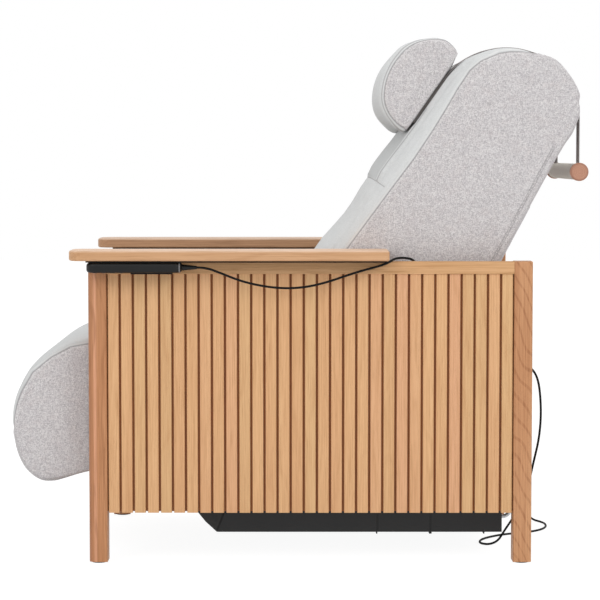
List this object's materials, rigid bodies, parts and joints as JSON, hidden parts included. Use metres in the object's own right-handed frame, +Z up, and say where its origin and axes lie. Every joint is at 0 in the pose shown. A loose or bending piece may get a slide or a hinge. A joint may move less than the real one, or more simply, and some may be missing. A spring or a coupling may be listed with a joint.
{
  "type": "reflexology chair",
  "caption": "Powered reflexology chair with slatted wooden sides, reclining tweed back, head pillow on weighted straps, swinging calf rest and corded handset",
  "frame": {"origin": "on the floor at the middle of the outline, without the cord", "axes": "X from the sitter's feet to the back, Y from the sitter's left to the right, Z up"},
  "size_m": [1.1343, 0.72, 1.0259],
  "materials": {
    "leg_wood": "oiled teak-like wood, satin",
    "slat_wood": "oiled light wood, satin",
    "side_board": "dark stained board behind the slats",
    "inner_wood": "plain unfinished timber and plywood",
    "tweed_fabric": "woven grey tweed upholstery over foam",
    "pillow_fabric": "woven grey tweed over foam",
    "seat_fabric": "smooth pale grey upholstery over foam",
    "webbing": "dark grey woven webbing",
    "sleeve_fabric": "pale fabric sleeve",
    "roller_wood": "reddish oiled wood",
    "black_steel": "black powder-coated steel",
    "plate_steel": "dark powder-coated steel",
    "frame_steel": "dark grey powder-coated steel",
    "zinc_steel": "zinc-plated steel",
    "bush_bronze": "sintered bronze",
    "drive_plastic": "black moulded plastic",
    "handset_plastic": "dark grey moulded plastic",
    "key_rubber": "soft grey silicone keys",
    "cord_rubber": "black cable jacket",
    "glide_plastic": "black plastic glide"
  },
  "bodies": {
    "chair_frame": {"leg_front_left": "leg_wood", "leg_front_right": "leg_wood", "leg_rear_left": "leg_wood", "leg_rear_right": "leg_wood", "foot_glides": "glide_plastic", "top_rail_left": "slat_wood", "top_rail_right": "slat_wood", "side_board_left": "side_board", "side_board_right": "side_board", "slats_left": "slat_wood", "slats_right": "slat_wood", "arm_left": "leg_wood", "arm_right": "leg_wood", "arm_plates": "plate_steel", "arm_screws": "zinc_steel", "front_cross_rail": "inner_wood", "rear_cross_rail": "inner_wood", "seat_rails": "inner_wood", "seat_crossbars": "frame_steel", "seat_board": "inner_wood", "seat_cushion": "seat_fabric", "pivot_plates": "frame_steel", "pivot_bushes": "bush_bronze", "pivot_bolts": "zinc_steel", "pan_front": "black_steel", "pan_middle": "black_steel", "pan_rear": "black_steel", "pan_hangers": "zinc_steel", "control_box": "drive_plastic", "mains_inlet": "drive_plastic", "cord_gland": "drive_plastic", "back_actuator_housing": "drive_plastic", "legrest_actuator_housing": "drive_plastic", "actuator_brackets": "frame_steel", "actuator_mount_pins": "zinc_steel", "handset_holder": "plate_steel", "handset_cord": "cord_rubber"},
    "backrest": {"backrest_frame": "frame_steel", "backrest_board": "inner_wood", "backrest_cushion": "tweed_fabric", "backrest_lever": "frame_steel", "headrest_straps": "webbing"},
    "legrest": {"legrest_frame": "frame_steel", "legrest_board": "inner_wood", "legrest_cushion": "tweed_fabric", "legrest_lever": "frame_steel"},
    "back_rod": {"back_actuator_rod": "zinc_steel", "back_actuator_pin": "zinc_steel"},
    "legrest_rod": {"legrest_actuator_rod": "zinc_steel", "legrest_actuator_pin": "zinc_steel"},
    "headrest": {"headrest_pillow": "pillow_fabric"},
    "strap_drop": {"hanging_straps": "webbing"},
    "roller": {"counterweight_roller": "roller_wood", "roller_sleeve": "sleeve_fabric"},
    "handset": {"handset_case": "handset_plastic", "handset_relief": "handset_plastic"},
    "legs_up_key": {"key_legs_up": "key_rubber"},
    "legs_down_key": {"key_legs_down": "key_rubber"},
    "back_up_key": {"key_back_up": "key_rubber"},
    "back_down_key": {"key_back_down": "key_rubber"}
  },
  "joints": [
    {"name": "backrest_recline", "type": "hinge", "parent": "chair_frame", "child": "backrest", "pos_m": [0, 0, 0.4], "axis": [0, 1, 0], "range_deg": [0, 42]},
    {"name": "legrest_lift", "type": "hinge", "parent": "chair_frame", "child": "legrest", "pos_m": [-0.385, 0, 0.4], "axis": [0, 1, 0], "range_deg": [0, 50]},
    {"name": "back_rod_slide", "type": "slide", "parent": "chair_frame", "child": "back_rod", "axis": [-1, 0, 0], "range_m": [0, 0.0762]},
    {"name": "legrest_rod_slide", "type": "slide", "parent": "chair_frame", "child": "legrest_rod", "axis": [-1, 0, 0], "range_m": [0, 0.0736]},
    {"name": "headrest_slide", "type": "slide", "parent": "backrest", "child": "headrest", "axis": [-0.5707, 0, -0.8211], "range_m": [0, 0.06]},
    {"name": "strap_swing", "type": "hinge", "parent": "backrest", "child": "strap_drop", "pos_m": [0.54944, 0, 0.88622], "axis": [0, 1, 0], "range_deg": [-60, 5]},
    {"name": "roller_slide", "type": "slide", "parent": "strap_drop", "child": "roller", "axis": [0, 0, 1], "range_m": [0, 0.0602], "deforming": ["hanging_straps"]},
    {"name": "handset_slide", "type": "slide", "parent": "chair_frame", "child": "handset", "axis": [0, -1, 0], "range_m": [0, 0.06]},
    {"name": "press_legs_up", "type": "slide", "parent": "handset", "child": "legs_up_key", "axis": [0, 0, 1], "range_m": [0, 0.001], "stiffness_N_per_m": 350, "springref_m": -0.001},
    {"name": "press_legs_down", "type": "slide", "parent": "handset", "child": "legs_down_key", "axis": [0, 0, 1], "range_m": [0, 0.001], "stiffness_N_per_m": 350, "springref_m": -0.001},
    {"name": "press_back_up", "type": "slide", "parent": "handset", "child": "back_up_key", "axis": [0, 0, 1], "range_m": [0, 0.001], "stiffness_N_per_m": 350, "springref_m": -0.001},
    {"name": "press_back_down", "type": "slide", "parent": "handset", "child": "back_down_key", "axis": [0, 0, 1], "range_m": [0, 0.001], "stiffness_N_per_m": 350, "springref_m": -0.001}
  ],
  "couplings": [
    {"joint": "back_rod_slide", "follows": "backrest_recline", "m_per_rad": 0.1035},
    {"joint": "legrest_rod_slide", "follows": "legrest_lift", "m_per_rad": 0.084},
    {"joint": "roller_slide", "follows": "headrest_slide", "ratio": 1}
  ]
}
